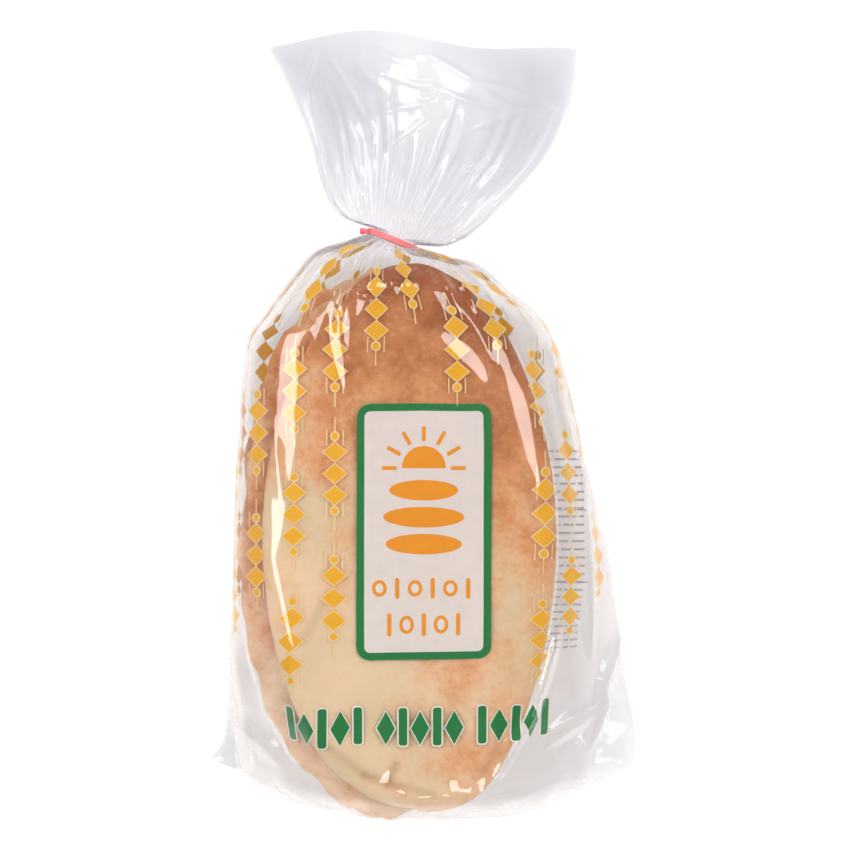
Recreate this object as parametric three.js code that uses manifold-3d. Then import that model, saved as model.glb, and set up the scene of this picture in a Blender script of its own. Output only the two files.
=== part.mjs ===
// A bag of six oval pitta breads, lying on its back: clear film round the stack, the neck gathered by a
// twist tie, and the mouth of the bag spread out above it. Millimetres, +Z up, +Y towards the mouth.
import * as THREE from "three";
import { mergeVertices } from "three/addons/utils/BufferGeometryUtils.js";
import Module from "manifold-3d";

const { lerp, clamp, smoothstep } = THREE.MathUtils;

// The stack inside the film.
const BREAD_THICKNESS = 10.2;
const BREAD_COUNT = 6;
const FILM_ALLOWANCE = 1.8;
const PACK_HEIGHT = BREAD_COUNT * BREAD_THICKNESS + FILM_ALLOWANCE;

// The bag's side folds as they lie, from the bottom seam's corners to the neck. Points with the same place
// in both lists belong to one section.
const LEFT_SIDE = [
  [-88.8, -139.0],
  [-83.8, -129.9],
  [-81.6, -103.0],
  [-79.7, -64.3],
  [-77.2, -8.3],
  [-74.2, 30.0],
  [-66.0, 45.0],
  [-47.5, 69.5],
  [-33.0, 75.2],
  [-22.1, 78.6],
];
const RIGHT_SIDE = [
  [88.8, -139.9],
  [87.6, -129.0],
  [83.2, -100.0],
  [78.0, -65.2],
  [65.2, -7.5],
  [55.0, 29.5],
  [43.5, 48.5],
  [22.0, 65.4],
  [7.5, 69.6],
  [-4.9, 71.6],
];

// The two edges of the spread mouth, from the neck out to its corners.
const MOUTH_LEFT = [
  [-20.9, 81.6],
  [-33.2, 86.0],
  [-41.5, 97.5],
  [-50.6, 125.7],
  [-66.4, 159.0],
];
const MOUTH_RIGHT = [
  [-3.7, 74.6],
  [6.2, 73.9],
  [12.5, 76.0],
  [25.7, 85.1],
  [50.2, 110.0],
  [61.6, 134.0],
  [64.3, 158.1],
];

// Heights above the surface that the pack lies on.
const CORNER_HEIGHT = 8;
const NECK_HEIGHT = 34;
const MOUTH_CORNER_HEIGHT = 5;
const MOUTH_ARCH_HEIGHT = 46;

// Half of the bag's depth where it isn't filled.
const SEAM_HALF_DEPTH = 0.5;
const NECK_HALF_DEPTH = 7.5;
const MOUTH_HALF_DEPTH = 5;

const PLEATS = 9;
const PLEAT_DEPTH = 1.7;

// How the body changes along its length: each entry is a place, from 0 at the bottom seam to 1 at the
// neck, and the value there.
const LEFT_FOLD_HEIGHT = [[0, CORNER_HEIGHT], [0.2, 30], [1, NECK_HEIGHT]];
const RIGHT_FOLD_HEIGHT = [[0, CORNER_HEIGHT], [0.4, 20], [1, NECK_HEIGHT]];
const SEAM_LIFT = [[0, 17], [0.1, 0]];
const UNFILLED_HALF_DEPTH = [[0.85, 0], [1, NECK_HALF_DEPTH]];
const BODY_PLEAT_DEPTH = [[0.74, 0], [0.94, PLEAT_DEPTH], [0.97, PLEAT_DEPTH], [1, 0]];

// The section's height over its place across is (1 - |across| ** flatness) ** sharpness, and the loose
// film makes the right side less steep than the left one.
const LEFT_FLATNESS = [[0, 2.6], [0.2, 3.4], [0.4, 4.6], [0.8, 4], [1, 2]];
const LEFT_SHARPNESS = [[0, 1.5], [0.16, 0.8], [0.36, 0.28], [0.8, 0.3], [1, 0.5]];
const RIGHT_FLATNESS = [[0, 2.6], [0.2, 2.9], [0.4, 3.2], [0.85, 3], [1, 2]];
const RIGHT_SHARPNESS = [[0, 1.5], [0.16, 1], [0.4, 0.6], [0.85, 0.5], [1, 0.5]];

// The breads fill the bag out over short lengths at both ends. The surface below presses it flat, by
// this much in the middle.
const END_RISE_LENGTH = 0.04;
const SHOULDER_LENGTH = 0.1;
const PRESSED_FLAT = 3;

// The bottom seam bows out round the bread, less and less up to this place along the body.
const SEAM_BOW = 24;
const SEAM_BOW_END = 0.34;

// How the spread mouth changes along its length, from 0 at the neck to 1 at its edge.
const ARCH_HEIGHT = [[0, NECK_HEIGHT], [0.9, MOUTH_ARCH_HEIGHT]];
const MOUTH_SIDE_HEIGHT = [[0.05, NECK_HEIGHT], [1, MOUTH_CORNER_HEIGHT]];
const MOUTH_PLEAT_DEPTH = [[0.02, 0], [0.14, PLEAT_DEPTH], [1, 0.4 * PLEAT_DEPTH]];

// The mouth's edge bows out in the middle and has one wave across it.
const MOUTH_BOW = 1.6;
const MOUTH_WAVE = 4.6;

// A twist tie: a flat plastic ribbon with a wire in it, its ends twisted into a short bar that slants
// down towards the body.
const TIE_WIDTH = 2.2;
const TIE_THICKNESS = 0.9;
const TIE_GAP = 0.3;
const TIE_END_LENGTH = 5;
const TIE_END_OVERLAP = 0.4;
const TIE_END_TURNS = 0.5;
const TIE_END_SLANT = 0.35;
const TIE_END_DROP = 1;
const TIE_COLOUR = 0xe8696c;
const FILM_COLOUR = 0xdedfe3;

const RINGS_IN_BODY = 36;
const RINGS_IN_NECK = 3;
const RINGS_IN_MOUTH = 14;
const POINTS_ACROSS = 34;
const FINE_STEPS = 240;

// A value that changes smoothly from one [place, value] entry to the next, and is level outside them.
function along(entries, place) {
  const next = entries.findIndex(([start]) => start >= place);
  if (next === 0) return entries[0][1];
  if (next < 0) return entries[entries.length - 1][1];
  const [from, before] = entries[next - 1];
  const [to, after] = entries[next];
  return lerp(before, after, smoothstep(place, from, to));
}

// A quarter of a circle, from 0 at 0 to 1 at 1.
function quarterRise(x) {
  const left = 1 - clamp(x, 0, 1);
  return Math.sqrt(1 - left * left);
}

function curveThrough(points) {
  return new THREE.SplineCurve(points.map(([x, y]) => new THREE.Vector2(x, y)));
}

function midpoint([ax, ay], [bx, by]) {
  return [(ax + bx) / 2, (ay + by) / 2];
}

const leftSide = curveThrough(LEFT_SIDE);
const rightSide = curveThrough(RIGHT_SIDE);
const middleLine = curveThrough(LEFT_SIDE.map((point, i) => midpoint(point, RIGHT_SIDE[i])));
const mouthLeft = curveThrough(MOUTH_LEFT);
const mouthRight = curveThrough(MOUTH_RIGHT);

// Pleats run straight out from the neck and die out at the side folds.
function pleat(across, face) {
  return face * Math.cos(Math.PI * PLEATS * across) * (1 - across ** 6);
}

// A point of the filled body. Place runs from 0 at the bottom seam to 1 at the neck, across from -1 at the
// left fold to 1 at the right one, and face is 1 for the front film and -1 for the back film.
function bodyPoint(place, across, face) {
  const flatness = along(across < 0 ? LEFT_FLATNESS : RIGHT_FLATNESS, place);
  const sharpness = along(across < 0 ? LEFT_SHARPNESS : RIGHT_SHARPNESS, place);
  const fullness = (1 - Math.abs(across) ** flatness) ** sharpness;
  const step = middleLine.getUtoTmapping(place);
  const left = leftSide.getPoint(step);
  const right = rightSide.getPoint(step);
  const share = (across + 1) / 2;
  const bow = SEAM_BOW * Math.max(0, 1 - place / SEAM_BOW_END) ** 1.6 * (1 - Math.abs(across) ** 2.5);
  const side = lerp(along(LEFT_FOLD_HEIGHT, place), along(RIGHT_FOLD_HEIGHT, place), share);
  const fold = side + along(SEAM_LIFT, place) * (1 - across * across);
  const filled = quarterRise(place / END_RISE_LENGTH) * quarterRise((1 - place) / SHOULDER_LENGTH);
  const unfilled = along(UNFILLED_HALF_DEPTH, place);
  const full = face > 0 ? PACK_HEIGHT - fold : fold + PRESSED_FLAT;
  const depth = Math.max(SEAM_HALF_DEPTH, lerp(unfilled, full, filled));
  const height = fold + (face * depth + along(BODY_PLEAT_DEPTH, place) * pleat(across, face)) * fullness;
  return new THREE.Vector3(
    lerp(left.x, right.x, share),
    lerp(left.y, right.y, share) - bow,
    Math.max(0, height),
  );
}

// A point of the spread mouth: two films that lie close together and arch over between the corners, which
// reach down almost to the surface. Place runs from 0 at the neck to 1 at the mouth's edge.
function mouthPoint(place, across, face) {
  const fullness = Math.sqrt(1 - across * across);
  const left = mouthLeft.getPointAt(place);
  const right = mouthRight.getPointAt(place);
  const share = (across + 1) / 2;
  const edge = (MOUTH_BOW - MOUTH_WAVE * Math.sin(Math.PI * across)) * Math.cos((Math.PI * across) / 2);
  const middle = lerp(along(ARCH_HEIGHT, place), along(MOUTH_SIDE_HEIGHT, place), Math.abs(across) ** 1.8);
  const depth = lerp(NECK_HALF_DEPTH, MOUTH_HALF_DEPTH, place);
  const height = middle + (face * depth + along(MOUTH_PLEAT_DEPTH, place) * pleat(across, face)) * fullness;
  return new THREE.Vector3(
    lerp(left.x, right.x, share),
    lerp(left.y, right.y, share) + edge * place ** 3,
    Math.max(0, height),
  );
}

// Points spaced evenly along one face of a section, from the left fold to the right one.
function spaced(pointAt) {
  const fine = Array.from({ length: FINE_STEPS + 1 }, (_, i) =>
    pointAt(-Math.cos((Math.PI * i) / FINE_STEPS)),
  );
  const lengths = [0];
  for (let i = 1; i <= FINE_STEPS; i++) {
    lengths.push(lengths[i - 1] + fine[i].distanceTo(fine[i - 1]));
  }
  const points = [];
  let k = 0;
  for (let i = 0; i <= POINTS_ACROSS; i++) {
    const target = (lengths[FINE_STEPS] * i) / POINTS_ACROSS;
    while (k < FINE_STEPS - 1 && lengths[k + 1] < target) k++;
    const share = (target - lengths[k]) / (lengths[k + 1] - lengths[k]);
    points.push(fine[k].clone().lerp(fine[k + 1], clamp(share, 0, 1)));
  }
  return points;
}

// One closed section: the front face from left to right, then the back face from right to left.
function section(pointAt) {
  const front = spaced((across) => pointAt(across, 1));
  const back = spaced((across) => pointAt(across, -1));
  return [...front, ...back.slice(1, -1).reverse()];
}

// Sections lie closer together at both ends of the body.
function bodyPlace(share) {
  return share < 0.5 ? 0.5 * (2 * share) ** 1.8 : 1 - 0.5 * (2 - 2 * share) ** 1.7;
}

function bagSections() {
  const sections = [];
  for (let i = 0; i <= RINGS_IN_BODY; i++) {
    const place = bodyPlace(i / RINGS_IN_BODY);
    sections.push(section((across, face) => bodyPoint(place, across, face)));
  }
  const bodyEnd = sections[sections.length - 1];
  const mouthStart = section((across, face) => mouthPoint(0, across, face));
  for (let i = 1; i < RINGS_IN_NECK; i++) {
    sections.push(bodyEnd.map((point, k) => point.clone().lerp(mouthStart[k], i / RINGS_IN_NECK)));
  }
  sections.push(mouthStart);
  for (let i = 1; i <= RINGS_IN_MOUTH; i++) {
    const place = (i / RINGS_IN_MOUTH) ** 1.15;
    sections.push(section((across, face) => mouthPoint(place, across, face)));
  }
  return sections;
}

// One end of the skin, filled in by strips from the front face to the back face.
function endCap(start, count, outwards) {
  const triangles = [];
  for (let k = 0; k < POINTS_ACROSS; k++) {
    const strip = [k, k + 1, (count - k - 1) % count, (count - k) % count].map((n) => n + start);
    const [a, b, c, d] = outwards ? strip : strip.reverse();
    if (a !== b && b !== c) triangles.push(a, b, c);
    if (a !== d && d !== c) triangles.push(a, c, d);
  }
  return triangles;
}

// A closed skin over sections that all have the same number of points.
function skinOver(sections) {
  const count = sections[0].length;
  const positions = sections.flat().flatMap((point) => point.toArray());
  const triangles = [];
  for (let i = 0; i + 1 < sections.length; i++) {
    for (let k = 0; k < count; k++) {
      const a = i * count + k;
      const b = i * count + ((k + 1) % count);
      triangles.push(a, b, a + count, b, b + count, a + count);
    }
  }
  triangles.push(...endCap(0, count, false));
  triangles.push(...endCap((sections.length - 1) * count, count, true));
  const geometry = new THREE.BufferGeometry();
  geometry.setAttribute("position", new THREE.Float32BufferAttribute(positions, 3));
  geometry.setIndex(triangles);
  return geometry;
}

function bag() {
  const film = new THREE.MeshStandardMaterial({
    color: FILM_COLOUR,
    roughness: 0.12,
    metalness: 0,
    transparent: true,
    opacity: 0.4,
  });
  const mesh = new THREE.Mesh(skinOver(bagSections()), film);
  mesh.name = "bag";
  return mesh;
}

const wasm = await Module();
wasm.setup();

function solidOf(geometry) {
  const bare = geometry.clone();
  bare.deleteAttribute("normal");
  bare.deleteAttribute("uv");
  const merged = mergeVertices(bare, 1e-4);
  return new wasm.Manifold(
    new wasm.Mesh({
      numProp: 3,
      vertProperties: merged.attributes.position.array,
      triVerts: new Uint32Array(merged.index.array),
    }),
  );
}

function geometryOf(solid) {
  const { vertProperties, triVerts } = solid.getMesh();
  const geometry = new THREE.BufferGeometry();
  geometry.setAttribute("position", new THREE.BufferAttribute(vertProperties, 3));
  geometry.setIndex(new THREE.BufferAttribute(triVerts, 1));
  return geometry;
}

// The ring of ribbon round the neck, with its axis along Z.
function tieRing(halfWidth) {
  const radii = [halfWidth + TIE_GAP, NECK_HALF_DEPTH + TIE_GAP];
  const outline = new THREE.Shape();
  outline.absellipse(0, 0, radii[0] + TIE_THICKNESS, radii[1] + TIE_THICKNESS, 0, 2 * Math.PI, false);
  const hole = new THREE.Path();
  hole.absellipse(0, 0, radii[0], radii[1], 0, 2 * Math.PI, true);
  outline.holes.push(hole);
  const ring = new THREE.ExtrudeGeometry(outline, {
    depth: TIE_WIDTH,
    bevelEnabled: false,
    curveSegments: 40,
  });
  return ring.translate(0, 0, -TIE_WIDTH / 2);
}

// The two ends of the ribbon, twisted together, standing out from the ring towards -X.
function tieEnds(halfWidth) {
  const bar = new THREE.BoxGeometry(TIE_END_LENGTH, 2 * TIE_THICKNESS, TIE_WIDTH, 8, 1, 1);
  const corners = bar.attributes.position;
  const corner = new THREE.Vector3();
  for (let i = 0; i < corners.count; i++) {
    corner.fromBufferAttribute(corners, i);
    const share = corner.x / TIE_END_LENGTH + 0.5;
    corner.applyAxisAngle(new THREE.Vector3(1, 0, 0), 2 * Math.PI * TIE_END_TURNS * share);
    corners.setXYZ(i, ...corner);
  }
  const ringMiddle = halfWidth + TIE_GAP + TIE_THICKNESS / 2;
  bar.rotateY(TIE_END_SLANT);
  return bar.translate(TIE_END_OVERLAP - ringMiddle - TIE_END_LENGTH / 2, 0, TIE_END_DROP);
}

// The tie stands across the neck, halfway between the body's last section and the mouth's first one.
function tie() {
  const left = new THREE.Vector2(...midpoint(LEFT_SIDE[LEFT_SIDE.length - 1], MOUTH_LEFT[0]));
  const right = new THREE.Vector2(...midpoint(RIGHT_SIDE[RIGHT_SIDE.length - 1], MOUTH_RIGHT[0]));
  const halfWidth = left.distanceTo(right) / 2;
  const solid = solidOf(tieRing(halfWidth)).add(solidOf(tieEnds(halfWidth)));
  const ribbon = new THREE.MeshStandardMaterial({ color: TIE_COLOUR, roughness: 0.45, metalness: 0 });
  const mesh = new THREE.Mesh(geometryOf(solid), ribbon);
  mesh.name = "twist_tie";
  mesh.rotation.x = Math.PI / 2;
  const neck = new THREE.Group();
  neck.position.set((left.x + right.x) / 2, (left.y + right.y) / 2, NECK_HEIGHT);
  neck.rotation.z = Math.atan2(right.y - left.y, right.x - left.x);
  neck.add(mesh);
  return neck;
}

const pack = new THREE.Group();
pack.add(bag(), tie());
const bounds = new THREE.Box3().setFromObject(pack);
const centre = bounds.getCenter(new THREE.Vector3());
pack.position.set(-centre.x, -centre.y, -bounds.min.z);

export default pack;
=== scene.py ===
# A bag of pitta breads, lying on its back and seen from straight above: six oval breads in clear film, with
# a printed front, a neck closed by a twist tie, and the film's open end spread out above it. Metres.
import bisect
import math
import random

import bmesh
import bpy
from mathutils import Matrix, Vector, noise
from mathutils.bvhtree import BVHTree


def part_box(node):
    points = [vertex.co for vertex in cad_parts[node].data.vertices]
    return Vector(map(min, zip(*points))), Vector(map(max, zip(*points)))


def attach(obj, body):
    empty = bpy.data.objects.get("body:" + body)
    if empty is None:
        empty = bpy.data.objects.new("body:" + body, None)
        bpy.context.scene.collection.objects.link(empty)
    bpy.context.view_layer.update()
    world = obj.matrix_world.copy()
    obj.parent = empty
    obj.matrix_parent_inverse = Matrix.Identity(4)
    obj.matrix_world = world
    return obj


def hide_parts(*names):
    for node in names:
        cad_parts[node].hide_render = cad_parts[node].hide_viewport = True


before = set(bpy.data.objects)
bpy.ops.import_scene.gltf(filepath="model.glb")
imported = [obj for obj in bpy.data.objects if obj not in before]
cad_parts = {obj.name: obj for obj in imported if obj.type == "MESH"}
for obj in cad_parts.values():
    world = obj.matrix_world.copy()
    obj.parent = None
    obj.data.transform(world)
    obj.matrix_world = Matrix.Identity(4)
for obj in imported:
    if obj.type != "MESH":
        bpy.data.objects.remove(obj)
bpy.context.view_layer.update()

MM = 0.001

# The breads
# White pitta, rolled thin, baked fast on a hot floor so that it blisters, and stacked while it is soft. The
# crust is matt and floury, cream where it stayed pale, and toasted towards the end that faced the flame.

# The places below are measured from the middle of the drawing, whose lowest point is the bottom seam.
SEAM_LOWEST_Y = -163.45 * MM
bag_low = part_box("bag")[0]
drawing_middle = Vector((0.0, bag_low.y - SEAM_LOWEST_Y, 0.0))

BREAD_THICKNESS = 10.2 * MM
BREAD_LENGTH = 221 * MM
BREAD_WIDTH = 121 * MM
BREAD_MIDDLE = (-6.4 * MM, -46.5 * MM)
# The bottom bread is pressed flat on the back film, at this height.
LYING_HEIGHT = 0.75 * MM

# One row for each bread from the bottom of the stack: how far its middle lies from the front one's, its turn
# in degrees, and its size against the front one's.
BREAD_STACK = (
    (-5 * MM, -2 * MM, -1.5, 0.97),
    (-3 * MM, 2 * MM, 2.0, 0.98),
    (-8 * MM, -3 * MM, -2.0, 0.985),
    (-8.5 * MM, 3 * MM, 4.0, 0.98),
    (-10 * MM, -4 * MM, -0.5, 0.99),
    (0.0, 0.0, 0.0, 1.0),
)
RIM_POWER = 7
BREAD_FILL = 0.49
STACK_CLEARANCE = 0.3 * MM
# The outline's unevenness, as shares of its radius, and how finely it runs round.
OUTLINE_WOBBLE = 0.03
OUTLINE_SCALE = 1.4
RAGGED_EDGE = 0.034
RAGGED_SCALE = 7.0
FRONT_RAGGED_SHARE = 0.14
# The front bread is blunter at its lower right: where in radians, how wide, and how much.
BLUNT_ANGLE = -1.12
BLUNT_WIDTH = 0.34
BLUNT_SHARE = 0.05
# The crust's broad waves, each with its length and depth. The breads below the front one lie flatter.
SURFACE_WAVES = ((32 * MM, 2.1 * MM), (13 * MM, 0.9 * MM))
UNDER_CALM = 0.35
BLISTER_SPACING = 11 * MM
BLISTER_HEIGHT = 1.98 * MM
BLISTER_START = 0.32
RIM_WRINKLE_SIZE = 14 * MM
RIM_WRINKLE_DEPTH = 3.75 * MM
RIM_WRINKLE_START = 0.6
RIM_WRINKLE_LEVEL = 0.2
RIM_WARP = 1.6 * MM
RIM_WARP_SCALE = 1.3
# Short creases of the front crust: both ends in plan, half the width, and the depth, in millimetres.
CREASES = (
    (-41, -131.5, -25, -143.5, 1.8, 0.9),
    (-25, -143.5, -15.5, -146.5, 1.7, 1.3),
    (-15.5, -146.5, -12, -139, 1.7, 1.6),
    (-14, -147, 4, -152, 1.7, 1),
    (30, -132, 24, -143, 2, 1),
    (-50, -88, -42, -74, 2.2, 0.9),
    (40, -20, 45, -34, 2.2, 0.9),
    (-34, 38, -24, 48, 2.2, 1),
)
# The crease depth at which the painted crease shade is darkest.
CREASE_SHADE_FULL_DEPTH = 2.0 * MM


def linear(hex_colour, alpha=1.0):
    """An sRGB hex colour such as 0xE8D9B8 as linear red, green, blue and alpha."""
    channels = [((hex_colour >> shift) & 255) / 255 for shift in (16, 8, 0)]
    return [c / 12.92 if c <= 0.04045 else ((c + 0.055) / 1.055) ** 2.4 for c in channels] + [alpha]


def add(tree, kind, inputs=None, **settings):
    """Adds a shader node, sets its settings, and gives each named input a value or a link."""
    node = tree.nodes.new(kind)
    for name, value in settings.items():
        setattr(node, name, value)
    for name, value in (inputs or {}).items():
        if isinstance(value, bpy.types.NodeSocket):
            tree.links.new(value, node.inputs[name])
        else:
            node.inputs[name].default_value = value
    return node


def new_material(name):
    material = bpy.data.materials.new(name)
    material.use_nodes = True
    material.node_tree.nodes.clear()
    return material, material.node_tree


def new_piece(name, bm, *materials):
    """A smooth mesh object at the origin, with the given materials."""
    mesh = bpy.data.meshes.new(name)
    bm.to_mesh(mesh)
    bm.free()
    for polygon in mesh.polygons:
        polygon.use_smooth = True
    for material in materials:
        mesh.materials.append(material)
    piece = bpy.data.objects.new(name, mesh)
    bpy.context.scene.collection.objects.link(piece)
    return piece


def bread_surface(place, seed, on_top):
    """How far the crust stands above its plain rounded form."""
    height = 0.0
    for size, depth in SURFACE_WAVES:
        height += depth * noise.noise(place / size + Vector((seed, 0.0, 0.0)))
    blister = noise.noise(place / BLISTER_SPACING + Vector((0.0, seed, 5.0)))
    if on_top:
        height += BLISTER_HEIGHT * max(0.0, blister - BLISTER_START)
    return height


def crease_depth(x, y):
    """How far the creases sink the front crust at a place in plan, in metres."""
    depth = 0.0
    for x0, y0, x1, y1, half_width, sink in CREASES:
        start, end, spot = Vector((x0, y0)) * MM, Vector((x1, y1)) * MM, Vector((x, y))
        share = min(max((spot - start).dot(end - start) / (end - start).length_squared, 0.0), 1.0)
        away = (spot - start.lerp(end, share)).length / (half_width * MM)
        depth += sink * MM * math.exp(-away * away)
    return depth


def bread_bmesh(index, detail):
    """One bread: a sphere pressed to a flat oval, with an uneven outline and a waved crust."""
    dx, dy, turn, size = BREAD_STACK[index]
    is_front = index == len(BREAD_STACK) - 1
    cos_turn = math.cos(math.radians(turn))
    sin_turn = math.sin(math.radians(turn))
    middle_z = (index + 0.5) * BREAD_THICKNESS + STACK_CLEARANCE
    bm = bmesh.new()
    painted_crease_shade = bm.verts.layers.float.new("painted_crease_shade")
    bmesh.ops.create_uvsphere(bm, u_segments=2 * detail, v_segments=detail, radius=1.0)
    for vert in bm.verts:
        rho = min(1.0, math.hypot(vert.co.x, vert.co.y))
        angle = math.atan2(vert.co.y, vert.co.x)
        heading = Vector((math.cos(angle), math.sin(angle), 0.0))
        around = heading * OUTLINE_SCALE + Vector((0.0, 0.0, index * 3.7))
        ragged = RAGGED_EDGE * noise.noise(around * RAGGED_SCALE) * (FRONT_RAGGED_SHARE if is_front else 1.0)
        outline = size * (1 + OUTLINE_WOBBLE * noise.noise(around) + ragged)
        if is_front:
            outline *= 1 + BLUNT_SHARE * math.exp(-(((angle - BLUNT_ANGLE) / BLUNT_WIDTH) ** 2))
        x = vert.co.x * outline * BREAD_WIDTH / 2
        y = vert.co.y * outline * BREAD_LENGTH / 2
        side = 1 if vert.co.z >= 0 else -1
        half = BREAD_FILL * BREAD_THICKNESS * (1 - rho**RIM_POWER) ** 0.5
        calm = 1.0 if is_front and side > 0 else UNDER_CALM
        wave = bread_surface(Vector((x, y, 0.0)), index * 7.3, side > 0) * calm * (1 - rho**6)
        wrinkle = abs(noise.noise(Vector((x, y, index * 0.1)) / RIM_WRINKLE_SIZE)) - RIM_WRINKLE_LEVEL
        wave += RIM_WRINKLE_DEPTH * wrinkle * calm * max(0.0, rho - RIM_WRINKLE_START) * (1 - rho**10)
        warp = noise.noise((heading + Vector((0.0, 0.0, index * 0.35))) * RIM_WARP_SCALE)
        plan_x = BREAD_MIDDLE[0] + dx + x * cos_turn - y * sin_turn
        plan_y = BREAD_MIDDLE[1] + dy + x * sin_turn + y * cos_turn
        # Painted shade: each crease's depth is kept on the vertex, so that the crust is painted darker in the
        # crease, in place of the shade that falls there.
        if is_front and side > 0:
            depth = crease_depth(plan_x, plan_y)
            wave -= depth
            vert[painted_crease_shade] = min(1.0, depth / CREASE_SHADE_FULL_DEPTH)
        height = middle_z + side * half + wave + RIM_WARP * warp * rho**4
        if index == 0:
            height = max(height, LYING_HEIGHT)
        vert.co = Vector((plan_x, plan_y, height)) + drawing_middle
    bm.normal_update()
    return bm


def wheat_crust(name, cream, peach, upper_toast, left_toast, shift):
    """Baked white wheat crust: floury and matt, mottled from cream to toasted brown, with fine pores, and
    painted shade darkening the front crust's creases.

    upper_toast and left_toast are how much more it is toasted towards the far end and at the left, and
    shift moves the pattern.
    """
    material, tree = new_material(name)
    coords = add(tree, "ShaderNodeTexCoord").outputs["Object"]
    moved = add(tree, "ShaderNodeMapping", {"Vector": coords, "Location": (shift, 0.0, shift)})
    place = moved.outputs["Vector"]
    split = add(tree, "ShaderNodeSeparateXYZ", {"Vector": coords})
    # Patches of about 40 mm and 14 mm, and pores of about 2 mm, coarser than real ones so that they show.
    broad = add(tree, "ShaderNodeTexNoise", {
        "Vector": place,
        "Scale": 24.0,
        "Detail": 3.0,
        "Roughness": 0.55,
    })
    middle = add(tree, "ShaderNodeTexNoise", {
        "Vector": place,
        "Scale": 70.0,
        "Detail": 5.0,
        "Roughness": 0.62,
    })
    fine = add(tree, "ShaderNodeTexNoise", {
        "Vector": place,
        "Scale": 420.0,
        "Detail": 4.0,
        "Roughness": 0.6,
    })
    pale_share = add(tree, "ShaderNodeMapRange", {
        "Value": broad.outputs["Fac"],
        "From Min": 0.38,
        "From Max": 0.62,
    })
    pale = add(tree, "ShaderNodeMix", {
        "Factor": pale_share.outputs["Result"],
        "A": linear(cream),
        "B": linear(peach),
    }, data_type="RGBA")
    upper = add(tree, "ShaderNodeMapRange", {
        "Value": split.outputs["Y"],
        "From Min": -0.075,
        "From Max": 0.05,
        "To Min": 0.0,
        "To Max": upper_toast,
    })
    right = add(tree, "ShaderNodeMapRange", {
        "Value": split.outputs["X"],
        "From Min": -0.06,
        "From Max": 0.055,
        "To Min": left_toast,
        "To Max": 0.18,
    })
    sides = add(tree, "ShaderNodeMath", {
        0: upper.outputs["Result"],
        1: right.outputs["Result"],
    }, operation="ADD")
    patches = add(tree, "ShaderNodeMath", {
        0: middle.outputs["Fac"],
        1: broad.outputs["Fac"],
    }, operation="ADD")
    toasting = add(tree, "ShaderNodeMath", {
        0: patches.outputs["Value"],
        1: 0.62,
        2: sides.outputs["Value"],
    }, operation="MULTIPLY_ADD")
    warmed = add(tree, "ShaderNodeMapRange", {
        "Value": toasting.outputs["Value"],
        "From Min": 0.57,
        "From Max": 0.92,
    })
    warm = add(tree, "ShaderNodeMix", {
        "Factor": warmed.outputs["Result"],
        "A": pale.outputs["Result"],
        "B": linear(0xD8925D),
    }, data_type="RGBA")
    toasted = add(tree, "ShaderNodeMapRange", {
        "Value": toasting.outputs["Value"],
        "From Min": 0.80,
        "From Max": 1.25,
    }, interpolation_type="SMOOTHSTEP")
    brown = add(tree, "ShaderNodeMix", {
        "Factor": toasted.outputs["Result"],
        "A": warm.outputs["Result"],
        "B": linear(0x984D1E),
    }, data_type="RGBA")
    flour = add(tree, "ShaderNodeMapRange", {
        "Value": fine.outputs["Fac"],
        "From Min": 0.5,
        "From Max": 0.75,
        "To Min": 0.0,
        "To Max": 0.14,
    })
    dark_spots = add(tree, "ShaderNodeMapRange", {
        "Value": fine.outputs["Fac"],
        "From Min": 0.48,
        "From Max": 0.32,
        "To Min": 0.0,
        "To Max": 0.5,
    })
    speckle = add(tree, "ShaderNodeMath", {
        0: dark_spots.outputs["Result"],
        1: warmed.outputs["Result"],
    }, operation="MULTIPLY")
    speckled = add(tree, "ShaderNodeMix", {
        "Factor": speckle.outputs["Value"],
        "A": brown.outputs["Result"],
        "B": linear(0xBF7443),
    }, data_type="RGBA")
    floury = add(tree, "ShaderNodeMix", {
        "Factor": flour.outputs["Result"],
        "A": speckled.outputs["Result"],
        "B": linear(0xF1E0C4),
    }, data_type="RGBA")
    # Painted shade: the crust turns towards a dull brown in the creases, by their depth, in place of the
    # shade that falls in them.
    painted_crease_shade = add(tree, "ShaderNodeAttribute", attribute_name="painted_crease_shade")
    crease_shade_share = add(tree, "ShaderNodeMapRange", {"Value": painted_crease_shade.outputs["Fac"], "To Max": 0.62})
    crust = add(tree, "ShaderNodeMix", {
        "Factor": crease_shade_share.outputs["Result"],
        "A": floury.outputs["Result"],
        "B": linear(0xA27A52),
    }, data_type="RGBA")
    pores = add(tree, "ShaderNodeBump", {"Height": fine.outputs["Fac"], "Strength": 0.35, "Distance": 0.0005})
    skin = add(tree, "ShaderNodeBump", {
        "Height": middle.outputs["Fac"],
        "Strength": 0.6,
        "Distance": 0.002,
        "Normal": pores.outputs["Normal"],
    })
    surface = add(tree, "ShaderNodeBsdfPrincipled", {
        "Base Color": crust.outputs["Result"],
        "Roughness": 0.82,
        "Normal": skin.outputs["Normal"],
    })
    add(tree, "ShaderNodeOutputMaterial", {"Surface": surface.outputs["BSDF"]})
    return material


front_crust = wheat_crust("toasted_wheat_crust", 0xD6BE98, 0xE8C6A2, 0.53, -0.16, 0.0)
stack_crust = wheat_crust("pale_wheat_crust", 0xF0DCBC, 0xF3C8A6, 0.14, 0.12, 0.4)

FRONT_RINGS = 110
STACK_RINGS = 64
breads = []
for index in range(len(BREAD_STACK)):
    is_front = index == len(BREAD_STACK) - 1
    rings = FRONT_RINGS if is_front else STACK_RINGS
    crust = front_crust if is_front else stack_crust
    bread = new_piece(f"bread_{index + 1}", bread_bmesh(index, rings), crust)
    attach(bread, "root")
    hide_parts("bag")
    breads.append(bread)

# The film
# A clear polypropylene bag, heat-sealed along the bottom, filled with the breads and gathered at the neck.
# Its front and back are one tube, so one grid is wrapped round from the left fold over the front to the
# right fold and back underneath. The outline and heights are those of the bag's solid.

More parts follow.
